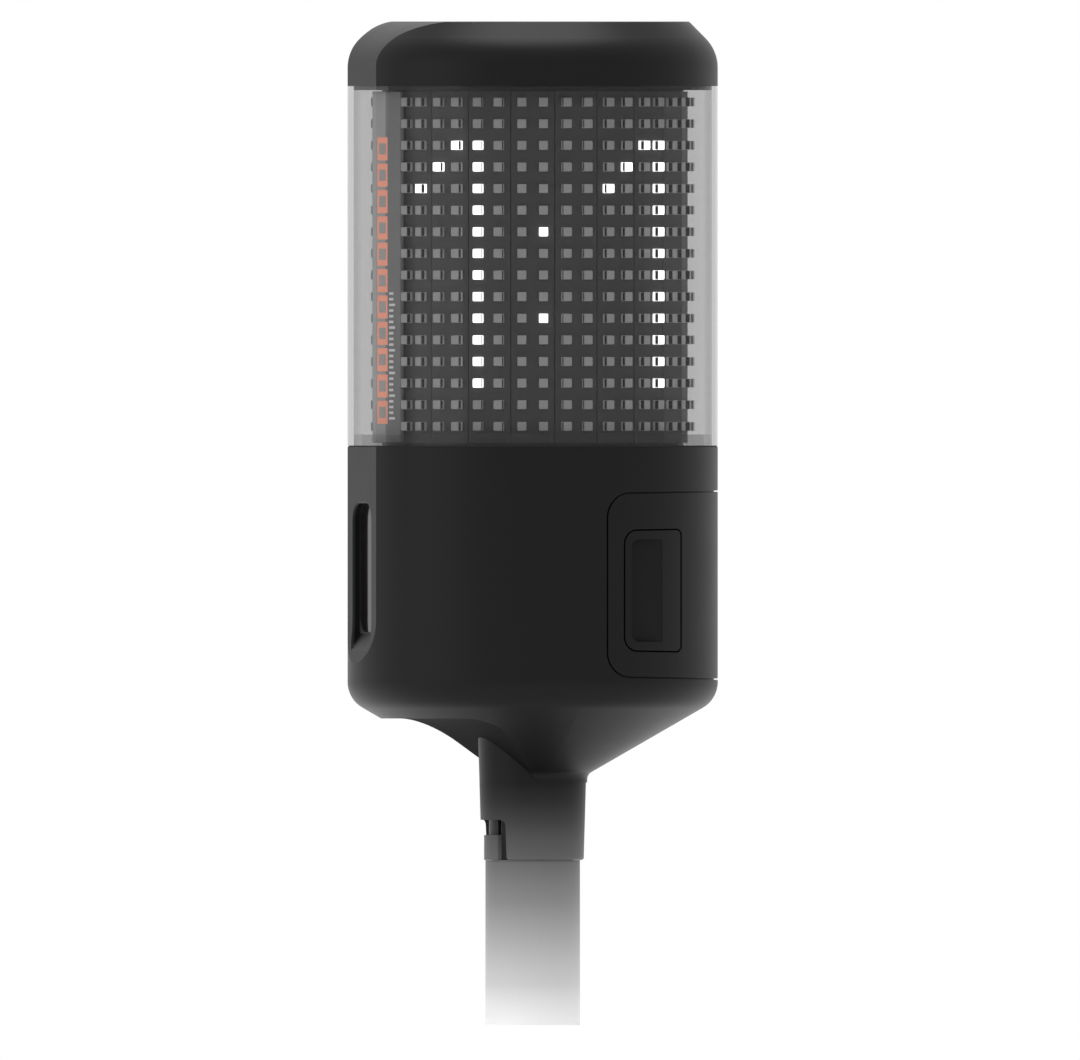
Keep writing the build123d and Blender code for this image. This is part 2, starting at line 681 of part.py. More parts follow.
# ---- Deck ----
def display_deck():
    plate = rod(INNER_R - FIT_CLEARANCE, DECK_Z, SEAM_Z) & behind(FLAT_Y - WALL - FIT_CLEARANCE)
    rim = ring(RIM_R, RIM_R - RIM_WIDTH, SEAM_Z, SEAM_Z + RIM_HEIGHT)
    wall = rod(RIM_R, SEAM_Z, SEAM_Z + RIM_HEIGHT) & behind(RIM_FLAT)
    front = wall - behind(RIM_FLAT - RIM_WIDTH)
    deck = plate + (rim & behind(RIM_FLAT)) + front
    back = DRIVER_SET - RIBBON_THICKNESS / 2
    slot = ((-RIBBON_SLOT_HALF, RIBBON_SLOT_HALF), (back - RIBBON_SLOT, back))
    deck -= block(*slot, (DECK_Z - CUT, SEAM_Z + CUT))
    for x, y in around(DECK_BOSS_CIRCLE, SQUARE):
        deck -= rod(SCREW_R + SCREW_HOLE, DECK_Z - CUT, SEAM_Z + CUT, x, y)
        deck -= rod(SCREW_HEAD_R + SCREW_HOLE, SEAM_Z - SCREW_HEAD, SEAM_Z + CUT, x, y)
    for x, y in around(ROD_CIRCLE, THIRDS):
        deck -= rod(ROD_R + SCREW_HOLE, DECK_Z - CUT, SEAM_Z + CUT, x, y)
    return deck


def deck_screws():
    tip = DECK_Z - DECK_BOSS_LENGTH + BOSS_FLOOR + SCREW_TIP_GAP
    seat = SEAM_Z - SCREW_HEAD
    return [screw(tip, seat, x, y) for x, y in around(DECK_BOSS_CIRCLE, SQUARE)]


# ---- Clear cover and cap ----
def clear_cover():
    low, high = SEAM_Z + SEAL_THICKNESS, CAP_Z
    inside = rod(COVER_INNER, low - CUT, high + CUT) & behind(COVER_FLAT)
    return (rod(HEAD_R, low, high) & behind(FLAT_Y)) - inside


def seal(level):
    """A flat seal ring as wide as the cover's wall, and flat at the front."""
    inside = rod(COVER_INNER, level, level + SEAL_THICKNESS) & behind(COVER_FLAT)
    outside = rod(HEAD_R - SEAL_SET, level, level + SEAL_THICKNESS) & behind(FLAT_Y - SEAL_SET)
    return outside - inside


def cover_gasket():
    return seal(SEAM_Z)


def cap_gasket():
    return seal(CAP_Z)


def cap_profile(inset):
    side, top = HEAD_R - inset, TOP_Z - inset
    return turned(
        (0, CAP_Z),
        (side, CAP_Z),
        (side, CAP_Z + CAP_SIDE + CAP_SHOULDER_R * CAP_LEAN, CAP_SHOULDER_R - inset),
        (HEAD_R - CAP_SHOULDER_IN - CAP_CHAMFER - inset * CAP_LEAN, top, CAP_EDGE_R),
        (0, top),
    )


def top_cap():
    cap = cap_profile(0) & side_limit(0)
    cap -= cap_profile(WALL) & side_limit(WALL)
    root = CAP_Z + CAP_LIP_RISE
    lip = ring(RIM_R, RIM_R - RIM_WIDTH, CORE_TOP, root) & behind(RIM_FLAT)
    front = (rod(RIM_R, CORE_TOP, root) & behind(RIM_FLAT)) - behind(RIM_FLAT - RIM_WIDTH)
    cap += lip + front
    cap -= seal(CAP_Z)
    for x, y in around(ROD_CIRCLE, THIRDS):
        cap += rod(ROD_BOSS_R, CORE_TOP, TOP_Z - WALL + JOIN, x, y) & side_limit(WALL / 2)
    for x, y in around(ROD_CIRCLE, THIRDS):
        cap -= rod(ROD_R, CORE_TOP - CUT, CORE_TOP + ROD_END + JOIN, x, y)
    return cap


def tie_rods():
    low = DECK_Z - NUT_HEIGHT - CUT
    return [rod(ROD_R, low, CORE_TOP + ROD_END, x, y) for x, y in around(ROD_CIRCLE, THIRDS)]


def rod_nuts():
    nut = extrude(RegularPolygon(NUT_FLATS / 2, 6, major_radius=False) - Circle(ROD_R), NUT_HEIGHT)
    return [Pos(x, y, DECK_Z - NUT_HEIGHT) * nut for x, y in around(ROD_CIRCLE, THIRDS)]


# ---- LED core ----
def facet_plane(index, radius, z):
    """A plane on a facet; azimuths start at the front and turn towards +X."""
    azimuth = math.radians(FACET * (index + FRONT_FACETS / 2 + 0.5))
    out = (math.sin(azimuth), -math.cos(azimuth), 0)
    across = (math.cos(azimuth), math.sin(azimuth), 0)
    return Plane((out[0] * radius, out[1] * radius, z), x_dir=across, z_dir=out)


def core_frame():
    shape = RegularPolygon(FRAME_APOTHEM, FACETS, major_radius=False, rotation=-90)
    body = Pos(0, 0, SEAM_Z) * extrude(shape, CORE_TOP - SEAM_Z)
    bore = rod(CORE_R - CORE_BORE_GAP, SEAM_Z - CUT, CORE_TOP + CUT)
    return (body & behind(PLATE_BACK)) - bore


def led_boards():
    width = 2 * FRAME_APOTHEM * math.tan(math.radians(FACET / 2)) - BOARD_SIDE_GAP
    low, high = SEAM_Z + BOARD_FOOT_GAP, CORE_TOP - BOARD_HEAD_GAP
    board = Box(width, high - low, BOARD_THICKNESS)
    middle = FRAME_APOTHEM + BOARD_THICKNESS / 2
    facets = range(FACETS - FRONT_FACETS)
    return [facet_plane(j, middle, (low + high) / 2).location * board for j in facets]


def lit_cells():
    """The lit LEDs as (row, column): two upright strokes with a flag, and a colon."""
    lit = {(6, 7), (10, 7)}
    for stem in (4, 13):
        lit |= {(row, stem) for row in range(2, 14)}
        lit |= {(1 + step, stem - step) for step in (1, 2, 3)}
    return lit


def leds(wanted):
    """The LEDs whose (row, column) passes a test."""
    body = Box(LED_SIZE, LED_SIZE, LED_HEIGHT)
    found = []
    for column in range(2 * (FACETS - FRONT_FACETS)):
        side = -0.5 if column % 2 == 0 else 0.5
        for row in range(LED_ROWS):
            if wanted((row, column)):
                z = FIRST_ROW - row * LED_PITCH
                plane = facet_plane(column // 2, APOTHEM + LED_HEIGHT / 2, z)
                found.append(plane.location * Pos(side * LED_PITCH, 0, 0) * body)
    return found


def leds_lit():
    lit = lit_cells()
    return leds(lambda cell: cell in lit)


def leds_unlit():
    lit = lit_cells()
    return leds(lambda cell: cell not in lit)


def label_plate():
    low, high = SEAM_Z + BOARD_FOOT_GAP, CORE_TOP - BOARD_HEAD_GAP
    return block(
        (-LABEL_PLATE_HALF, LABEL_PLATE_HALF),
        (-PLATE_BACK - LABEL_PLATE_THICKNESS, -PLATE_BACK),
        (low, high),
    )


def display_driver():
    return block(
        (-DRIVER_HALF, DRIVER_HALF),
        (DRIVER_SET, DRIVER_SET + BOARD_THICKNESS),
        (SEAM_Z, SEAM_Z + DRIVER_HEIGHT),
    )


def display_ribbon():
    front = DRIVER_SET - RIBBON_THICKNESS
    low = BOARD_Z + BOARD_THICKNESS
    width = (-RIBBON_HALF, RIBBON_HALF)
    strip = block(width, (front, DRIVER_SET), (low, SEAM_Z + RIBBON_RISE))
    return strip - block(width, (DRIVER_SET - RIBBON_THICKNESS / 2, DRIVER_SET), (low, SEAM_Z))


# ---- Main board ----
def main_board():
    board = rod(MAIN_BOARD_R, BOARD_Z, BOARD_Z + BOARD_THICKNESS)
    for x, y in around(STANDOFF_CIRCLE, SQUARE):
        board -= rod(SCREW_R + SCREW_HOLE, BOARD_Z - CUT, BOARD_Z + BOARD_THICKNESS + CUT, x, y)
    return board


def board_standoffs():
    low = BOARD_Z + BOARD_THICKNESS
    return [
        rod(STANDOFF_R, low, DECK_Z, x, y) - rod(SCREW_R, low, DECK_Z - BOSS_FLOOR, x, y)
        for x, y in around(STANDOFF_CIRCLE, SQUARE)
    ]


def board_screws():
    found = []
    for x, y in around(STANDOFF_CIRCLE, SQUARE):
        shank = rod(SCREW_R, BOARD_Z, DECK_Z - BOSS_FLOOR - SCREW_TIP_GAP, x, y)
        found.append(shank + rod(SCREW_HEAD_R, BOARD_Z - SCREW_HEAD, BOARD_Z, x, y))
    return found


def board_parts():
    """Processor, radio module and two power parts under the main board."""
    found = []
    for x, y, width, depth, height in BOARD_PARTS:
        across = (x - width / 2, x + width / 2)
        along = (y - depth / 2, y + depth / 2)
        found.append(block(across, along, (BOARD_Z - height, BOARD_Z)))
    return found


def antenna():
    low = BOARD_Z + BOARD_THICKNESS
    along = (-ANTENNA_FRONT, ANTENNA_DEPTH - ANTENNA_FRONT)
    return block((-ANTENNA_HALF, ANTENNA_HALF), along, (low, low + ANTENNA_HEIGHT))


def buzzer():
    low = BOARD_Z - BUZZER_HEIGHT
    body = rod(BUZZER_R, low, BOARD_Z, 0, -BUZZER_FRONT)
    return body - rod(BUZZER_PORT_R, low, low + BUZZER_PORT, 0, -BUZZER_FRONT)


def power_board():
    front = LID_FRONT - POWER_BOARD_SET
    across = (-POWER_BOARD_HALF, POWER_BOARD_HALF)
    return block(across, (front, front + BOARD_THICKNESS), (DOOR_MID - POWER_BOARD_DROP, BOARD_Z))


def contact_block():
    front = LID_FRONT - POWER_BOARD_SET + BOARD_THICKNESS
    half = CONTACT_BLOCK_HALF
    return block((-half, half), (front, front + CONTACT_BLOCK_DEPTH), (DOOR_MID - half, DOOR_MID + half))


def head_contacts():
    back = LID_FRONT - CONTACT_THICKNESS - CONTACT_GAP
    front = LID_FRONT - POWER_BOARD_SET + BOARD_THICKNESS + CONTACT_BLOCK_DEPTH
    half = CONTACT_SPACING / 2
    return [rod_y(CONTACT_PIN_R, front, back, 0, DOOR_MID + z) for z in (-half, half)]


# ---- Optics ----
def optic_window():
    return slab(window_outline(WINDOW_LAP), WINDOW_Y - WINDOW_PLATE, WINDOW_Y)


def window_gasket():
    face = window_outline(WINDOW_LAP - 0.2) - window_outline(0)
    return slab(face, WINDOW_Y, FLAT_Y - WALL)


def optic_carrier():
    half_z = LENS_SPACING / 2 + LENS_R + LENS_MARGIN
    z = (WINDOW_MID - half_z, WINDOW_MID + half_z)
    body = block((-CARRIER_HALF, CARRIER_HALF), (-CARRIER_FRONT, -CARRIER_BACK), z)
    seat = CARRIER_FRONT - FLANGE_SET
    flange = block((-FLANGE_HALF, FLANGE_HALF), (-seat, -seat + FLANGE_THICKNESS), z)
    carrier = body + flange
    seat_y = -CARRIER_FRONT + LENS_SET + LENS_THICKNESS
    for z in (-LENS_SPACING / 2, LENS_SPACING / 2):
        carrier -= rod_y(LENS_R, -CARRIER_FRONT - CUT, seat_y, 0, WINDOW_MID + z)
        bore = LENS_R - LENS_SHOULDER
        carrier -= rod_y(bore, -CARRIER_FRONT, -CARRIER_BACK + CUT, 0, WINDOW_MID + z)
    for x, z in optic_screws_at():
        through_flange = (-seat - CUT, -seat + FLANGE_THICKNESS + CUT)
        carrier -= rod_y(SCREW_R + SCREW_HOLE, *through_flange, x, z)
    return carrier


def optic_lenses():
    """Plano-convex lenses, curved side forward."""
    half_sag = LENS_CURVE_R - math.sqrt(LENS_CURVE_R**2 - LENS_R**2 / 4)
    sag = LENS_CURVE_R - math.sqrt(LENS_CURVE_R**2 - LENS_R**2)
    curve = ThreePointArc((0, 0), (LENS_R / 2, half_sag), (LENS_R, sag))
    back = Polyline((LENS_R, sag), (LENS_R, LENS_THICKNESS), (0, LENS_THICKNESS), (0, 0))
    lens = revolve(make_face(curve + back), Axis.Y)
    front = -CARRIER_FRONT + LENS_SET
    return [Pos(0, front, WINDOW_MID + z) * lens for z in (-LENS_SPACING / 2, LENS_SPACING / 2)]


def optic_board():
    half_z = LENS_SPACING / 2 + LENS_R + LENS_MARGIN
    z = (WINDOW_MID - half_z, WINDOW_MID + half_z)
    back = CARRIER_BACK - BOARD_THICKNESS
    return block((-CARRIER_HALF, CARRIER_HALF), (-CARRIER_BACK, -back), z)


def carrier_screws():
    seat = CARRIER_FRONT - FLANGE_SET
    tip, head = -seat - OPTIC_SCREW_DEPTH, -seat + FLANGE_THICKNESS
    return [screw_y(tip, head, x, z) for x, z in optic_screws_at()]


# ---- Battery module ----
def battery_door():
    low, high = DOOR_Z - SEAT_WIDTH, DOOR_Z + DOOR_HEIGHT + SEAT_WIDTH
    shell = ring(HEAD_R, INNER_R, low, high)
    door = shell & through(Plane.YZ, door_outline(-SEAM / 2))
    rebate = door_outline(SEAM) - door_outline(-SEAT_LAP - DOOR_LAP_GAP)
    lap = ring(HEAD_R - DOOR_LAP_SKIN, INNER_R - WALL, low, high)
    door -= lap & through(Plane.YZ, rebate)
    door -= through(Plane.YZ, latch_outline(SEAM))
    door = fillet(edges_on_drum(door, 0, TOP_Z, 0), EDGE_R)
    for x, z in tray_screws_at():
        boss = rod_y(TRAY_BOSS_R, TRAY_BACK, HEAD_R, x, z) & rod(INNER_R + JOIN, 0, TOP_Z)
        door += boss - rod_y(SCREW_R, TRAY_BACK, TRAY_BACK + TRAY_BOSS_BORE, x, z)
    return door


def door_gasket():
    """A seal in the door's lap, which bears on the seat."""
    outer = HEAD_R - DOOR_LAP_SKIN
    band = ring(outer, outer - DOOR_SEAL, DOOR_Z - SEAT_WIDTH, DOOR_Z + DOOR_HEIGHT + SEAT_WIDTH)
    face = door_outline(-SEAM) - door_outline(-SEAT_LAP + SMALLEST_CORNER)
    return band & through(Plane.YZ, face)


def tray_screws_at():
    half = CELL_PITCH / 2
    return [(x, DOOR_MID + z) for x in (-TRAY_SCREW_X, TRAY_SCREW_X) for z in (-half, half)]


def battery_tray():
    z = (DOOR_MID - TRAY_HALF_Z, DOOR_MID + TRAY_HALF_Z)
    inner = TRAY_HALF_Z - TRAY_WALL
    tray = block((-TRAY_X, TRAY_X), (TRAY_FRONT, TRAY_BACK), z)
    tray &= rod(INNER_R - TRAY_CLEARANCE, 0, TOP_Z)
    tray -= block(
        (-TRAY_X + TRAY_WALL, TRAY_X - TRAY_WALL),
        (TRAY_FRONT - CUT, TRAY_BACK - TRAY_WALL),
        (DOOR_MID - inner, DOOR_MID + inner),
    )
    for x, height in tray_screws_at():
        low = TRAY_BACK - TRAY_WALL - CUT
        tray -= rod_y(SCREW_R + SCREW_HOLE, low, TRAY_BACK + CUT, x, height)
    return tray


def tray_lid():
    z = (DOOR_MID - TRAY_HALF_Z, DOOR_MID + TRAY_HALF_Z)
    return block((-TRAY_X, TRAY_X), (LID_FRONT, TRAY_FRONT), z)


def tray_contacts():
    half = CONTACT_SPACING / 2
    front = LID_FRONT - CONTACT_THICKNESS
    return [rod_y(CONTACT_R, front, LID_FRONT, 0, DOOR_MID + z) for z in (-half, half)]


def tray_screws():
    seat = TRAY_BACK - TRAY_WALL
    return [screw_y(seat + TRAY_SCREW, seat, x, z) for x, z in tray_screws_at()]


def battery_cells():
    cell = Rot(0, 90, 0) * Cylinder(CELL_R, CELL_LENGTH)
    first = TRAY_FRONT + TRAY_WALL + CELL_R - CELL_LIFT
    found = []
    for column in range(2):
        for row in range(CELL_ROWS):
            z = DOOR_MID + (row - (CELL_ROWS - 1) / 2) * CELL_PITCH
            found.append(Pos(0, first + column * CELL_PITCH, z) * cell)
    return found


# ---- Squeeze latches ----
def grip():
    """The finger recess of a latch: a flat floor that runs out at the rear."""
    front = LATCH_FRONT + GRIP_MARGIN
    rear = front + GRIP_LENGTH
    low, high = LATCH_Z + GRIP_END_MARGIN, LATCH_Z + LATCH_HEIGHT - GRIP_END_MARGIN
    face = outline((front, low, GRIP_CORNER), (front, high, GRIP_CORNER), (rear, high), (rear, low))
    floor = math.sqrt(HEAD_R**2 - rear**2) - GRIP_SINK
    return extrude(Plane.YZ.offset(floor) * face, REACH)


def latch_right():
    body = extrude(Plane.YZ * latch_outline(0), REACH) & rod(HEAD_R, 0, TOP_Z)
    body -= block((0, LATCH_X), (-REACH, REACH), (0, TOP_Z))
    lip = extrude(Plane.YZ.offset(LATCH_X) * latch_outline(LATCH_LIP), LATCH_LIP_THICKNESS)
    pocket = extrude(Plane.YZ * latch_outline(-WALL), REACH) & rod(HEAD_R - LATCH_SKIN, 0, TOP_Z)
    body = fillet(edges_on_drum(body, 0, TOP_Z, 0), EDGE_R)
    return body + lip - pocket - grip()


def latch_left():
    return mirror(latch_right(), Plane.YZ)


def latch_spring_right():
    length = LATCH_X + LATCH_SPRING_SEAT - TRAY_X
    y = LATCH_FRONT + LATCH_LENGTH * LATCH_SPRING_PLACE
    spring = coil(LATCH_SPRING_R, LATCH_SPRING_WIRE, length, LATCH_SPRING_TURNS)
    return Pos(TRAY_X, y, LATCH_Z + LATCH_HEIGHT / 2) * Rot(0, 90, 0) * spring


def latch_spring_left():
    return mirror(latch_spring_right(), Plane.YZ)


# ---- Pole catch ----
def pole_catch():
    front = block((-CATCH_HALF, CATCH_HALF), (-REACH, 0), (SOCKET_Z, SOCKET_Z + CATCH_HEIGHT))
    tab = ring(CATCH_OUT, SPIGOT_R + CATCH_SLACK / 2, SOCKET_Z, SOCKET_Z + CATCH_HEIGHT) & front
    low = SOCKET_Z + GROOVE_LOW + NOSE_SLACK
    high = SOCKET_Z + GROOVE_LOW + GROOVE_HEIGHT - NOSE_SLACK
    inner = SPIGOT_R - GROOVE_DEPTH + NOSE_SLACK
    nose = ring(SPIGOT_R + CUT, inner, low, high)
    nose &= block((-NOSE_HALF, NOSE_HALF), (-REACH, 0), (low, high))
    return tab + nose


def catch_spring():
    low, high = SOCKET_Z + CATCH_HEIGHT, SOCKET_Z + NOTCH_HEIGHT
    inner = SPIGOT_R + BLADE_SET
    blade = ring(inner + BLADE_THICKNESS, inner, low, high)
    return blade & block((-BLADE_HALF, BLADE_HALF), (-REACH, 0), (low, high))


# ---- Power button ----
def power_button():
    x, y = 0, -BUTTON_FRONT
    cap = rod(BUTTON_R, SCOOP_Z + BUTTON_SET, BUTTON_FLANGE_Z + BUTTON_SLACK, x, y)
    edge = cap.edges().sort_by(Axis.Z)[0]
    top = BUTTON_FLANGE_Z + STEM_HEIGHT
    flange = rod(BUTTON_R + BUTTON_FLANGE, BUTTON_FLANGE_Z, top, x, y)
    stem = rod(STEM_R, BUTTON_FLANGE_Z, top + STEM_HEIGHT, x, y)
    return fillet(edge, BUTTON_EDGE_R) + flange + stem


def button_spring():
    low = BUTTON_FLANGE_Z + STEM_HEIGHT
    length = SWITCH_BOARD_Z - low
    spring = coil(BUTTON_SPRING_R, BUTTON_SPRING_WIRE, length, BUTTON_SPRING_TURNS)
    return Pos(0, -BUTTON_FRONT, low) * spring


def switch_board():
    return block(
        (-SWITCH_BOARD_HALF, SWITCH_BOARD_HALF),
        (-BUTTON_FRONT - SWITCH_BOARD_DEPTH, -BUTTON_FRONT + SWITCH_BOARD_DEPTH),
        (SWITCH_BOARD_Z, SWITCH_BOARD_Z + BOARD_THICKNESS),
    )


def power_switch():
    low = BUTTON_FLANGE_Z + 2 * STEM_HEIGHT + BUTTON_TRAVEL + SWITCH_GAP
    along = (-BUTTON_FRONT - SWITCH_HALF, -BUTTON_FRONT + SWITCH_HALF)
    return block((-SWITCH_HALF, SWITCH_HALF), along, (low, SWITCH_BOARD_Z))


NODES = (
    pole_tube, pole_spigot, thrust_washer,
    lower_housing, pole_socket, socket_bush, display_deck, deck_screws, cover_gasket, clear_cover,
    top_cap, cap_gasket, tie_rods, rod_nuts,
    core_frame, led_boards, leds_lit, leds_unlit, label_plate, display_driver, display_ribbon,
    main_board, board_standoffs, board_screws, board_parts, antenna, buzzer,
    power_board, contact_block, head_contacts,
    optic_window, window_gasket, optic_carrier, optic_lenses, optic_board, carrier_screws,
    battery_door, door_gasket, battery_tray, tray_lid, tray_contacts, tray_screws, battery_cells,
    latch_right, latch_left, latch_spring_right, latch_spring_left,
    pole_catch, catch_spring, power_button, button_spring, switch_board, power_switch,
)

os.makedirs("parts", exist_ok=True)
for make in NODES:
    made = make()
    shape = Compound(children=made) if isinstance(made, list) else made
    export_step(shape, f"parts/{make.__name__}.step")
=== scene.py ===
import math

import bmesh
import bpy
from mathutils import Matrix, Vector


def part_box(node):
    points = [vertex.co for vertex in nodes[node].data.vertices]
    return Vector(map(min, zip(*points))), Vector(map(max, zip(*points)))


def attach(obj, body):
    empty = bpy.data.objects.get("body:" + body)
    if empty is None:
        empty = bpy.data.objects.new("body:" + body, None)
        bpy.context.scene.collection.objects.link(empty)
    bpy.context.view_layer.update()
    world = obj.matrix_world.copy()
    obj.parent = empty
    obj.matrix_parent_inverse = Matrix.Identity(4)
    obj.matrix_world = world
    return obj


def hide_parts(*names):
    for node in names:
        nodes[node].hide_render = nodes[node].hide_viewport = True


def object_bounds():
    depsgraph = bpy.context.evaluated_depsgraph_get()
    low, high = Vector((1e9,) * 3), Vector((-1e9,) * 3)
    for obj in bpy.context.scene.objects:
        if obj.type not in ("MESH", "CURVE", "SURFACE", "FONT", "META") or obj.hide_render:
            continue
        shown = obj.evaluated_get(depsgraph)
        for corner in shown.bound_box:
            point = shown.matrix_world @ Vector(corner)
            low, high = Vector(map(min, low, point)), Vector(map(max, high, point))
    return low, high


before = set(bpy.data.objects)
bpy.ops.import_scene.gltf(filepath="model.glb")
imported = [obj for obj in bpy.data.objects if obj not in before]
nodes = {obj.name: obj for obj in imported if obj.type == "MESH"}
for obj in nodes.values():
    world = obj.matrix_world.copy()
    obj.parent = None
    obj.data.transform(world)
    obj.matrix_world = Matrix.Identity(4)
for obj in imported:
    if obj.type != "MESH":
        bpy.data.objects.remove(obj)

MM = 0.001
cad_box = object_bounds()
scene = bpy.context.scene

# ---- View ----
VIEW_AZIMUTH = 73.64          # degrees round from the sensor window
FRAME_WIDTH = 0.3996          # what the picture's width spans
FRAME_RIGHT = 0.0027          # the picture's centre, right of the pole's axis
FRAME_DOWN = 0.0025           # and below the middle of the object
CAMERA_FAR = 1.6

# ---- Lights and floor ----
LIGHT_AIM = (0, 0, 0.2)
OVERHEAD = {"place": (0.0, 0.0, 1.7), "size": 1.3, "power": 26.0}
FRONT_LEFT = {"place": (0.35, -1.6, 0.5), "size": 1.2, "power": 4.0}
FLOOR_HALF = 3.0
FLOOR_GAP = 0.2 * MM           # the floor lies this far under the pole

# ---- Display, as the frame has it ----
LED_PITCH = 8.0 * MM
LED_ROWS = 16
LED_HALF = 1.65 * MM
LED_HEIGHT = 2.9 * MM
BOARD_APOTHEM = 56.77 * MM     # the LEDs' feet stand this far out from the pole's axis
FACETS = 22
FRONT_FACETS = 2               # these have the label plate and no LEDs
COLUMNS = 2 * (FACETS - FRONT_FACETS)

# ---- What is lit: (row, column), counted from the top and from the front ----
COLON = {(6, 7), (10, 7)}
STEMS = (4, 13)                # the columns of the two upright strokes
STEM_ROWS = range(2, 14)
FLAG_STEPS = (1, 2, 3)         # each flag's LEDs, down and away from its stroke

# ---- One LED, from its foot outwards ----
LED_CORNER = 0.18 * MM         # cut off each corner
FOOT_TOP = 0.95 * MM
CUP_START = 1.05 * MM
CUP_INSET = 0.1 * MM
CUP_END = LED_HEIGHT - 0.35 * MM
LENS_START = LED_HEIGHT - 0.3 * MM
LENS_INSET = 0.04 * MM
LENS_BEVEL = 0.1 * MM
FOOT, CUP, LENS = 0, 1, 2      # the LED's materials, in order
LED_GLOW = 2.6

# ---- Label plate and its marks: across from its middle, along from its lower end ----
PLATE_EDGE = 0.35 * MM
FIELD_EDGE = -0.8 * MM         # where the plate's paler field ends
FIELD_FADE = 10 * MM           # the colour ramp reaches this far either side of it
INK = 0.12 * MM
INK_EDGE = INK / 3
# painted glow of the orange ink, which is print and no lamp
INK_PAINTED_GLOW = 0.15
CELLS_ACROSS = (-11.2 * MM, 2.0 * MM)
CELLS_ALONG = (7 * MM, 114.5 * MM)
CELL_PITCH = 9.75 * MM
CELL_GAP = 1.2 * MM
CELL_STROKE = 2.2 * MM
TICKS_ACROSS = (4.2 * MM, 11.6 * MM)
TICKS_ALONG = (8 * MM, 58 * MM)
TICK_PITCH = 2.1 * MM
TICK_WIDTH = 0.9 * MM
LONG_EVERY = 4
SHORT_SHARE = 0.72             # a short tick's length, as a share of a long one's

# ---- Housing and socket finishes: painted shade in the scoop, painted fade at the socket ----
NECK_MARGIN = 1.5 * MM         # the scoop's faces start this far outside the socket
SCOOP_LEVEL = 0.012            # the scoop's faces lean sideways less than this
SOCKET_PAINTED_FADE = 28.6 * MM        # how far up the socket the painted fade to white reaches

# ---- Opacity ----
COVER_ALPHA = 0.21             # the clear cover, seen square on
COVER_EDGE_ALPHA = 0.40        # and seen at a slant
SLANT_START = 0.66             # Layer Weight's facing value where the change starts
SLANT_END = 0.82               # and where it ends
RIM_ALPHA = 0.16
LENS_ALPHA = 0.45

# ---- Colours, linear ----
BLACK_BODY = (0.0038, 0.0038, 0.0039)
BLACK_DEEP = (0.006, 0.006, 0.006)
SCOOP_BLACK = (0.004, 0.004, 0.004)
RUBBER_BLACK = (0.012, 0.012, 0.012)
WINDOW_BLACK = (0.006, 0.0045, 0.005)
MASK_BLACK = (0.050, 0.050, 0.051)
SMOKE = (0.03, 0.03, 0.03)
DECK_GREY = (0.10, 0.10, 0.10)
WASHER_GREY = (0.09, 0.09, 0.09)
LED_GREY = (0.34, 0.34, 0.34)
LED_BASE = (0.46, 0.46, 0.45)
LED_DARK = (0.022, 0.022, 0.022)
LIT_WHITE = (0.9, 0.9, 0.9)
PLATE_GREY = (0.165, 0.165, 0.165)
FIELD_GREY = (0.35, 0.35, 0.35)
POLE_GREY = (0.15, 0.15, 0.15)
PAPER = (0.9, 0.9, 0.9)
ORANGE = (0.95, 0.33, 0.20)
WHITE_INK = (0.75, 0.75, 0.75)
BOARD_GREEN = (0.012, 0.07, 0.03)
SLEEVE_BLUE = (0.03, 0.10, 0.25)
GLASS = (0.75, 0.8, 0.85)
RIBBON_GREY = (0.4, 0.4, 0.38)
CERAMIC = (0.6, 0.6, 0.56)
STEEL = (0.56, 0.56, 0.57)
BRASS = (0.78, 0.57, 0.25)
ALUMINIUM = (0.62, 0.62, 0.63)

# ---- Sockets of Blender's colour mix node ----
MIX_FACTOR, MIX_FIRST, MIX_SECOND, MIX_RESULT = 0, 6, 7, 2


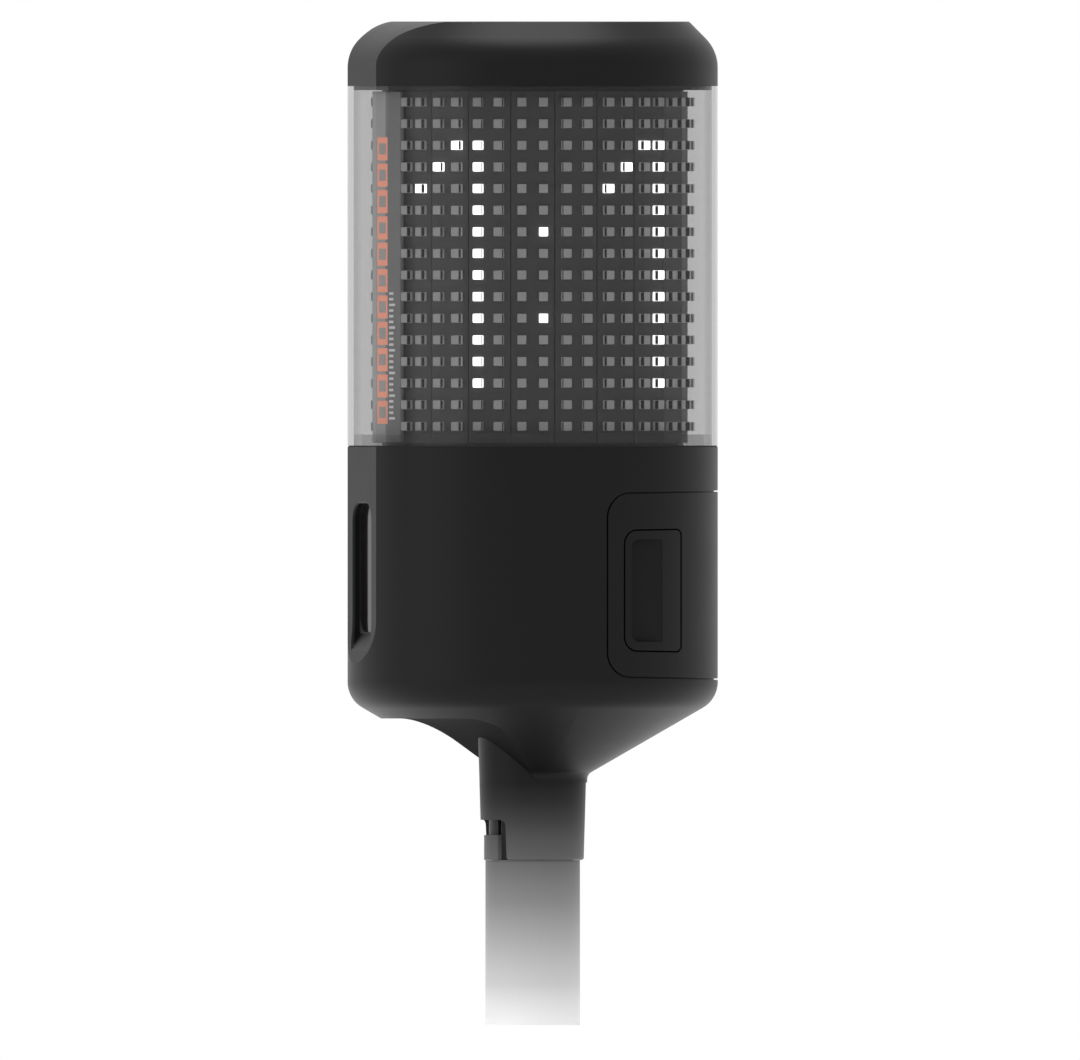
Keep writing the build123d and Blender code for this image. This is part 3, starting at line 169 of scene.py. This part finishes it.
# ---- Material tools ----
class Recipe:
    """A node material with one Principled shader and helpers to feed it."""

    def __init__(self, name, colour, roughness, **sockets):
        self.material = bpy.data.materials.new(name)
        self.material.use_nodes = True
        self.tree = self.material.node_tree
        self.shader = self.tree.nodes["Principled BSDF"]
        self.set("Base Color", (*colour, 1.0))
        self.set("Roughness", roughness)
        for socket, value in sockets.items():
            self.set(socket.replace("_", " "), value)
        self.place = self.node("ShaderNodeTexCoord").outputs["Object"]

    def node(self, kind, **settings):
        made = self.tree.nodes.new(kind)
        for key, value in settings.items():
            setattr(made, key, value)
        return made

    def set(self, socket, value):
        self.shader.inputs[socket].default_value = value

    def link(self, out, into):
        self.tree.links.new(out, into)

    def noise(self, size, detail=3.0, stretch=(1, 1, 1)):
        """Noise whose features are about size metres across."""
        mapping = self.node("ShaderNodeMapping")
        mapping.inputs["Scale"].default_value = stretch
        self.link(self.place, mapping.inputs["Vector"])
        noise = self.node("ShaderNodeTexNoise")
        noise.inputs["Scale"].default_value = 1.0 / size
        noise.inputs["Detail"].default_value = detail
        self.link(mapping.outputs["Vector"], noise.inputs["Vector"])
        return noise.outputs["Fac"]

    def between(self, fac, low, high):
        """A number that follows fac from low to high."""
        spread = self.node("ShaderNodeMapRange")
        spread.inputs["To Min"].default_value = low
        spread.inputs["To Max"].default_value = high
        self.link(fac, spread.inputs["Value"])
        return spread.outputs["Result"]

    def blend(self, fac, first, second):
        """A colour that follows fac from first to second."""
        mix = self.node("ShaderNodeMix", data_type="RGBA")
        mix.inputs[MIX_FIRST].default_value = (*first, 1.0)
        mix.inputs[MIX_SECOND].default_value = (*second, 1.0)
        self.link(fac, mix.inputs[MIX_FACTOR])
        return mix.outputs[MIX_RESULT]

    def vary(self, size, share, roughness=None):
        """Lets the colour, and the roughness, drift a little over the surface."""
        base = tuple(self.shader.inputs["Base Color"].default_value)[:3]
        fac = self.noise(size)
        dark = tuple(c * (1 - share) for c in base)
        light = tuple(min(c * (1 + share), 1.0) for c in base)
        self.link(self.blend(fac, dark, light), self.shader.inputs["Base Color"])
        if roughness:
            self.link(self.between(fac, *roughness), self.shader.inputs["Roughness"])
        return self

    def graded(self, axis, start, end, stops):
        """Greys along an axis of the object's own space; stops are (share of the way, grey)."""
        parts = self.node("ShaderNodeSeparateXYZ")
        self.link(self.place, parts.inputs["Vector"])
        along = self.node("ShaderNodeMapRange")
        along.inputs["From Min"].default_value = start
        along.inputs["From Max"].default_value = end
        self.link(parts.outputs[axis], along.inputs["Value"])
        ramp = self.node("ShaderNodeValToRGB")
        elements = ramp.color_ramp.elements
        while len(elements) < len(stops):
            elements.new(0.5)
        for element, (position, value) in zip(elements, stops):
            element.position = position
            element.color = (value, value, value, 1.0)
        self.link(along.outputs["Result"], ramp.inputs["Fac"])
        self.link(ramp.outputs["Color"], self.shader.inputs["Base Color"])
        return self

    def alpha_towards_edge(self, facing, grazing):
        """More opaque where the surface is seen at a slant."""
        weight = self.node("ShaderNodeLayerWeight")
        spread = self.node("ShaderNodeMapRange", interpolation_type="SMOOTHSTEP")
        spread.inputs["From Min"].default_value = SLANT_START
        spread.inputs["From Max"].default_value = SLANT_END
        spread.inputs["To Min"].default_value = facing
        spread.inputs["To Max"].default_value = grazing
        self.link(weight.outputs["Facing"], spread.inputs["Value"])
        self.link(spread.outputs["Result"], self.shader.inputs["Alpha"])
        return self

    def bump(self, height, size, strength=1.0, detail=2.0, stretch=(1, 1, 1)):
        """A fine grain of the given height and size in metres."""
        bump = self.node("ShaderNodeBump")
        bump.inputs["Distance"].default_value = height
        bump.inputs["Strength"].default_value = strength
        self.link(self.noise(size, detail, stretch), bump.inputs["Height"])
        self.link(bump.outputs["Normal"], self.shader.inputs["Normal"])
        return self


def moulded(name, colour, roughness=0.42, specular=0.12):
    """Fine spark-eroded texture of a moulded technical plastic."""
    made = Recipe(name, colour, roughness, Specular_IOR_Level=specular)
    made.vary(size=0.018, share=0.08, roughness=(roughness - 0.03, roughness + 0.03))
    return made.bump(height=0.00002, size=0.00045, strength=0.5).material


def rubber(name):
    made = Recipe(name, RUBBER_BLACK, 0.75, Specular_IOR_Level=0.2)
    return made.vary(size=0.006, share=0.15).bump(height=0.00003, size=0.0006).material


def metal(name, colour, roughness, stretch=(1, 1, 1)):
    made = Recipe(name, colour, roughness, Metallic=1.0)
    made.vary(size=0.004, share=0.06, roughness=(roughness - 0.06, roughness + 0.08))
    return made.bump(height=0.00001, size=0.0006, strength=0.6, stretch=stretch).material


def circuit(name, colour):
    """Solder mask over fine tracks."""
    made = Recipe(name, colour, 0.4, Specular_IOR_Level=0.4)
    bricks = made.node("ShaderNodeTexBrick")
    bricks.inputs["Scale"].default_value = 160.0
    bricks.inputs["Mortar Size"].default_value = 0.06
    bricks.inputs["Color1"].default_value = (*colour, 1.0)
    bricks.inputs["Color2"].default_value = (*[c * 0.86 for c in colour], 1.0)
    bricks.inputs["Mortar"].default_value = (*[c * 1.5 + 0.004 for c in colour], 1.0)
    made.link(made.place, bricks.inputs["Vector"])
    made.link(bricks.outputs["Color"], made.shader.inputs["Base Color"])
    return made.bump(height=0.00002, size=0.002, strength=0.4).material


def cover_plastic():
    """Clear smoke-tinted cover: mostly seen through, with a faint surface gloss."""
    made = Recipe("clear_cover", SMOKE, 0.12, Specular_IOR_Level=0.35)
    made.alpha_towards_edge(COVER_ALPHA, COVER_EDGE_ALPHA)
    made.bump(height=0.00001, size=0.02, strength=0.3)
    made.material.surface_render_method = "BLENDED"
    return made.material


def lens_glass():
    made = Recipe("lens_glass", GLASS, 0.04, Specular_IOR_Level=0.7)
    made.set("Alpha", LENS_ALPHA)
    return made.vary(size=0.003, share=0.05).material


def window_acrylic():
    """Infrared window: near-black gloss with a deep red cast."""
    made = Recipe("window_acrylic", WINDOW_BLACK, 0.08, Specular_IOR_Level=0.25)
    return made.vary(size=0.01, share=0.1, roughness=(0.05, 0.11)).material


def pole_painted_fade():
    """Satin anodised tube, its colour painted paler towards its lower end: a painted fade to white,
    not the tube's own grey.
    """
    low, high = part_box("pole_tube")
    made = Recipe("pole_painted_fade", POLE_GREY, 0.5, Specular_IOR_Level=0.2)
    # painted fade to white: nearly white at the lower end, darker grey at the top
    stops = ((0.0, 0.96), (0.25, 0.56), (0.5, 0.36), (0.75, 0.20), (1.0, 0.105))
    made.graded("Z", low[2], high[2], stops)
    return made.bump(height=0.00001, size=0.0008, strength=0.5, stretch=(1, 1, 0.05)).material


def socket_painted_fade():
    """The body's plastic, painted paler towards the socket's mouth: a painted fade to white, not the
    plastic's own colour.
    """
    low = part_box("pole_socket")[0][2]
    made = Recipe("socket_plastic_painted_fade", BLACK_BODY, 0.45, Specular_IOR_Level=0.12)
    # painted fade to white: pale at the socket's mouth, the body's black at the top
    stops = ((0.0, 0.090), (0.25, 0.066), (0.5, 0.036), (0.75, 0.015), (1.0, BLACK_BODY[0]))
    made.graded("Z", low, low + SOCKET_PAINTED_FADE, stops)
    return made.bump(height=0.00002, size=0.00045, strength=0.5).material


def glowing(name, strength):
    made = Recipe(name, LIT_WHITE, 0.3)
    made.set("Emission Color", (1.0, 1.0, 1.0, 1.0))
    made.set("Emission Strength", strength)
    return made.vary(size=0.001, share=0.02).material


def sleeve():
    """Printed shrink sleeve of a battery cell."""
    made = Recipe("cell_sleeve", SLEEVE_BLUE, 0.3, Specular_IOR_Level=0.5)
    made.vary(size=0.01, share=0.1, roughness=(0.25, 0.38))
    return made.bump(height=0.00005, size=0.004, strength=0.4).material


def refinish(name, material, chosen):
    """Gives the chosen faces of a CAD node a second material."""
    mesh = nodes[name].data
    mesh.materials.append(material)
    for face in mesh.polygons:
        if chosen(face):
            face.material_index = 1


def scoop_painted_shade():
    """The relief under the front is coarser and darker than the drum: painted shade under the front,
    made with a duller, less glossy plastic.
    """
    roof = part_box("power_button")[0][2]
    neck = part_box("pole_socket")[1][0] + NECK_MARGIN

    def in_scoop(face):
        x, y, z = face.center
        low_front = z < roof and y < 0 and math.hypot(x, y) > neck
        return low_front and abs(face.normal.x) < SCOOP_LEVEL and face.normal.z < 0

    # painted shade: the scoop's plastic is dulled so the relief under the front looks shaded
    refinish("lower_housing", moulded("scoop_plastic_painted_shade", SCOOP_BLACK, 0.8, 0.03), in_scoop)


def rim_finish():
    """The deck's rim, which seats the cover, is of smoked clear plastic."""
    smoked = Recipe("smoked_rim", SMOKE, 0.3, Specular_IOR_Level=0.25)
    smoked.set("Alpha", RIM_ALPHA)
    smoked.vary(size=0.01, share=0.1)
    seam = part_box("lower_housing")[1][2]
    refinish("display_deck", smoked.material, lambda face: face.center.z > seam + INK)


def finish(material, *names):
    """Gives CAD nodes one material over all their faces."""
    for name in names:
        mesh = nodes[name].data
        mesh.materials.clear()
        mesh.materials.append(material)
        mesh.polygons.foreach_set("material_index", [0] * len(mesh.polygons))


# ---- Camera, world and lights ----
def set_view():
    low, high = (Vector(corner) for corner in cad_box)
    turn = math.radians(VIEW_AZIMUTH)
    towards = Vector((math.sin(turn), -math.cos(turn), 0))
    right = Vector((-towards.y, towards.x, 0))
    target = Vector((0, 0, (low.z + high.z) / 2 - FRAME_DOWN)) + right * FRAME_RIGHT
    data = bpy.data.cameras.new("camera")
    data.type = "ORTHO"
    data.ortho_scale = FRAME_WIDTH
    camera = bpy.data.objects.new("camera", data)
    camera.location = target + towards * CAMERA_FAR
    camera.rotation_euler = (-towards).to_track_quat("-Z", "Y").to_euler()
    scene.collection.objects.link(camera)
    scene.camera = camera


def set_world():
    world = bpy.data.worlds.new("studio")
    world.use_nodes = True
    back = world.node_tree.nodes["Background"]
    back.inputs["Color"].default_value = (1, 1, 1, 1)
    back.inputs["Strength"].default_value = 1.0
    scene.world = world
    scene.view_settings.view_transform = "Standard"
    scene.view_settings.look = "None"


def soft_light(name, place, size, power):
    data = bpy.data.lights.new(name, "AREA")
    data.shape = "DISK"
    data.size = size
    data.energy = power
    light = bpy.data.objects.new(name, data)
    light.location = place
    light.rotation_euler = (Vector(LIGHT_AIM) - Vector(place)).to_track_quat("-Z", "Y").to_euler()
    scene.collection.objects.link(light)


def floor():
    mesh = bpy.data.meshes.new("floor")
    half = FLOOR_HALF
    level = cad_box[0][2] - FLOOR_GAP
    corners = [(-half, -half, level), (half, -half, level), (half, half, level), (-half, half, level)]
    mesh.from_pydata(corners, [], [(0, 1, 2, 3)])
    paper = Recipe("floor_paper", PAPER, 0.9, Specular_IOR_Level=0.1)
    mesh.materials.append(paper.vary(size=0.3, share=0.01).material)
    plane = bpy.data.objects.new("floor", mesh)
    scene.collection.objects.link(plane)


# ---- Mesh tools ----
def add_piece(name, mesh, body, replaced=()):
    """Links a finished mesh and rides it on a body."""
    piece = bpy.data.objects.new(name, mesh)
    scene.collection.objects.link(piece)
    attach(piece, body)
    if replaced:
        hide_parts(*replaced)
    return piece


def square_ring(half, corner, height):
    """Eight points of a square with cut corners."""
    long, short = half, half - corner
    points = [(short, -long), (long, -short), (long, short), (short, long)]
    points += [(-short, long), (-long, short), (-long, -short), (-short, -long)]
    return [(x, y, height) for x, y in points]


def stacked(rings, bands):
    """Points and faces of rings joined upwards; bands give each face's material."""
    points = [point for ring in rings for point in ring]
    count = len(rings[0])
    faces, kinds = [], []
    for level in range(len(rings) - 1):
        low = level * count
        for i in range(count):
            j = (i + 1) % count
            faces.append((low + i, low + j, low + count + j, low + count + i))
            kinds.append(bands[level])
    last = (len(rings) - 1) * count
    faces.append(tuple(range(last, last + count)))
    kinds.append(bands[-1])
    faces.append(tuple(reversed(range(count))))
    kinds.append(bands[0])
    return points, faces, kinds


def scattered(name, pattern, places, materials):
    """One mesh with the pattern at every place."""
    points, faces, kinds = pattern
    all_points, all_faces, all_kinds = [], [], []
    for place in places:
        start = len(all_points)
        all_points += [place @ Vector(point) for point in points]
        all_faces += [tuple(start + i for i in face) for face in faces]
        all_kinds += kinds
    mesh = bpy.data.meshes.new(name)
    mesh.from_pydata(all_points, [], all_faces)
    for material in materials:
        mesh.materials.append(material)
    mesh.polygons.foreach_set("material_index", all_kinds)
    mesh.update()
    return mesh


def bevelled_block(made, low, high, edge, kind=0):
    """Adds a box with softened edges to a bmesh."""
    size = Vector(high) - Vector(low)
    middle = (Vector(high) + Vector(low)) / 2
    place = Matrix.Translation(middle) @ Matrix.Diagonal((*size, 1))
    verts = bmesh.ops.create_cube(made, size=1.0, matrix=place)["verts"]
    edges = list({e for v in verts for e in v.link_edges})
    faces = {f for v in verts for f in v.link_faces}
    result = bmesh.ops.bevel(
        made, geom=edges, offset=edge, segments=2, profile=0.5, affect="EDGES"
    )
    for face in set(result["faces"]) | {f for f in faces if f.is_valid}:
        face.material_index = kind


def mesh_of(made, name, *materials):
    mesh = bpy.data.meshes.new(name)
    made.to_mesh(mesh)
    made.free()
    for material in materials:
        mesh.materials.append(material)
    return mesh


# ---- Display pieces ----
def facet_place(index, radius, z):
    """Where a facet's local frame lies: local Z points outwards."""
    azimuth = math.radians(360 / FACETS * (index + FRONT_FACETS / 2 + 0.5))
    out = Vector((math.sin(azimuth), -math.cos(azimuth), 0))
    across = Vector((math.cos(azimuth), math.sin(azimuth), 0))
    turn = Matrix((across, Vector((0, 0, 1)), out)).transposed().to_4x4()
    return Matrix.Translation(out * radius + Vector((0, 0, z))) @ turn


def led_places():
    """{(row, column): place}, from the boxes of the LED groups."""
    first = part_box("leds_unlit")[1][2] - LED_HALF
    found = {}
    for column in range(COLUMNS):
        side = -0.5 if column % 2 == 0 else 0.5
        for row in range(LED_ROWS):
            place = facet_place(column // 2, BOARD_APOTHEM, first - row * LED_PITCH)
            found[row, column] = place @ Matrix.Translation((side * LED_PITCH, 0, 0))
    return found


def lit_cells():
    """The lit LEDs: two upright strokes with a flag, and a colon."""
    lit = set(COLON)
    for stem in STEMS:
        lit |= {(row, stem) for row in STEM_ROWS}
        lit |= {(1 + step, stem - step) for step in FLAG_STEPS}
    return lit


def led_pattern():
    """A surface-mount LED: pale foot, dark cup and a flat lens face."""
    profile = (
        (0.0, 0.0),
        (0.0, FOOT_TOP),
        (CUP_INSET, CUP_START),
        (CUP_INSET, CUP_END),
        (LENS_INSET, LENS_START),
        (LENS_INSET, LED_HEIGHT - LENS_BEVEL),
        (LENS_INSET + LENS_BEVEL, LED_HEIGHT),
    )
    rings = [square_ring(LED_HALF - inset, LED_CORNER, height) for inset, height in profile]
    return stacked(rings, [FOOT, FOOT, CUP, CUP, LENS, LENS, LENS])


def leds():
    places = led_places()
    lit = lit_cells()
    foot = Recipe("led_foot", LED_BASE, 0.5, Specular_IOR_Level=0.3).vary(size=0.002, share=0.05)
    cup = Recipe("led_cup", LED_DARK, 0.5, Specular_IOR_Level=0.1).vary(size=0.002, share=0.1)
    lens = Recipe("led_face", LED_GREY, 0.45, Specular_IOR_Level=0.2).vary(size=0.003, share=0.04)
    glow = glowing("led_glow", LED_GLOW)
    pattern = led_pattern()
    off = [place for cell, place in places.items() if cell not in lit]
    on = [places[cell] for cell in sorted(lit)]
    mesh = scattered("leds_unlit_detail", pattern, off, [foot.material, cup.material, lens.material])
    add_piece("leds_unlit_detail", mesh, "head", ["leds_unlit"])
    mesh = scattered("leds_lit_detail", pattern, on, [glow, cup.material, glow])
    add_piece("leds_lit_detail", mesh, "head", ["leds_lit"])


def label_plate():
    """The flat plate behind the front window of the cover, with a plain scale on it."""
    low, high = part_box("label_plate")
    made = bmesh.new()
    bevelled_block(made, low, high, PLATE_EDGE)
    plate = Recipe("plate_satin", PLATE_GREY, 0.5, Specular_IOR_Level=0.2)
    dark, pale = PLATE_GREY[0], FIELD_GREY[0]
    stops = ((0.0, pale), (0.49, pale), (0.51, dark), (1.0, dark))
    plate.graded("X", FIELD_EDGE - FIELD_FADE, FIELD_EDGE + FIELD_FADE, stops)
    plate.bump(height=0.00001, size=0.0006, strength=0.5)
    mesh = mesh_of(made, "label_plate_detail", plate.material)
    add_piece("label_plate_detail", mesh, "head", ["label_plate"])


def fine_ticks(material):
    """Printed bars of even pitch on the label plate, some of them longer."""
    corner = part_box("label_plate")[0]
    face, start = corner[1], corner[2] + TICKS_ALONG[0]
    left, right = TICKS_ACROSS
    made = bmesh.new()
    count = int((TICKS_ALONG[1] - TICKS_ALONG[0]) / TICK_PITCH)
    for i in range(count):
        low = start + (i + 0.5) * TICK_PITCH - TICK_WIDTH / 2
        reach = right if i % LONG_EVERY == 0 else left + (right - left) * SHORT_SHARE
        bevelled_block(made, (left, face - INK, low), (reach, face, low + TICK_WIDTH), INK_EDGE)
    add_piece("fine_ticks", mesh_of(made, "fine_ticks", material), "head")


def index_cells(material):
    """A column of outlined cells printed on the label plate."""
    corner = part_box("label_plate")[0]
    face, start = corner[1], corner[2] + CELLS_ALONG[0]
    left, right = CELLS_ACROSS
    made = bmesh.new()
    count = int((CELLS_ALONG[1] - CELLS_ALONG[0]) / CELL_PITCH)
    for i in range(count):
        low = start + i * CELL_PITCH
        high = low + CELL_PITCH - CELL_GAP
        bars = (
            ((left, low), (left + CELL_STROKE, high)),
            ((right - CELL_STROKE, low), (right, high)),
            ((left + CELL_STROKE, low), (right - CELL_STROKE, low + CELL_STROKE)),
            ((left + CELL_STROKE, high - CELL_STROKE), (right - CELL_STROKE, high)),
        )
        for (x0, z0), (x1, z1) in bars:
            bevelled_block(made, (x0, face - INK, z0), (x1, face, z1), INK_EDGE)
    add_piece("index_cells", mesh_of(made, "index_cells", material), "head")


def label_marks():
    orange = Recipe("orange_ink_painted_glow", ORANGE, 0.5, Specular_IOR_Level=0.3)
    # painted glow: the orange ink shines though nothing lights it from within
    orange.set("Emission Color", (*ORANGE, 1.0))
    orange.set("Emission Strength", INK_PAINTED_GLOW)
    white = Recipe("white_ink", WHITE_INK, 0.5, Specular_IOR_Level=0.3)
    index_cells(orange.vary(size=0.004, share=0.05).material)
    fine_ticks(white.vary(size=0.004, share=0.03).material)


# ---- The CAD nodes' finishes ----
def finish_nodes():
    body = moulded("body_plastic", BLACK_BODY)
    finish(body, "lower_housing", "top_cap", "battery_door", "latch_left", "latch_right")
    finish(cover_plastic(), "clear_cover")
    finish(window_acrylic(), "optic_window")
    finish(pole_painted_fade(), "pole_tube")
    finish(socket_painted_fade(), "pole_socket", "pole_catch")
    scoop_painted_shade()
    inner = moulded("inner_plastic", BLACK_DEEP, 0.5)
    finish(inner, "socket_bush", "optic_carrier", "contact_block", "core_frame")
    finish(inner, "battery_tray", "tray_lid", "board_parts", "buzzer", "power_switch")
    finish(moulded("deck_plastic", DECK_GREY, 0.5), "display_deck")
    rim_finish()
    finish(moulded("washer_plastic", WASHER_GREY, 0.45), "thrust_washer")
    board = Recipe("led_board_mask", MASK_BLACK, 0.5, Specular_IOR_Level=0.15)
    board.vary(size=0.012, share=0.05, roughness=(0.45, 0.55))
    finish(board.bump(height=0.00002, size=0.003, strength=0.3).material, "led_boards")
    seal = rubber("seal_rubber")
    finish(seal, "cover_gasket", "cap_gasket", "window_gasket", "door_gasket", "power_button")
    steel = metal("zinc_steel", STEEL, 0.32)
    finish(steel, "deck_screws", "board_screws", "carrier_screws", "tray_screws", "rod_nuts")
    finish(steel, "tie_rods", "latch_spring_left", "latch_spring_right", "button_spring")
    finish(moulded("spring_black", BLACK_DEEP, 0.4), "catch_spring")
    finish(metal("turned_brass", BRASS, 0.28), "board_standoffs", "head_contacts", "tray_contacts")
    finish(metal("turned_aluminium", ALUMINIUM, 0.35, stretch=(1, 1, 12)), "pole_spigot")
    green = circuit("circuit_green", BOARD_GREEN)
    finish(green, "main_board", "display_driver", "power_board", "optic_board", "switch_board")
    finish(lens_glass(), "optic_lenses")
    ribbon = Recipe("ribbon", RIBBON_GREY, 0.5).vary(size=0.002, share=0.1)
    finish(ribbon.material, "display_ribbon")
    ceramic = Recipe("ceramic", CERAMIC, 0.4).vary(size=0.004, share=0.04)
    finish(ceramic.material, "antenna")
    finish(sleeve(), "battery_cells")


set_view()
set_world()
floor()
soft_light("overhead", **OVERHEAD)
soft_light("front_left", **FRONT_LEFT)
finish_nodes()
leds()
label_plate()
label_marks()
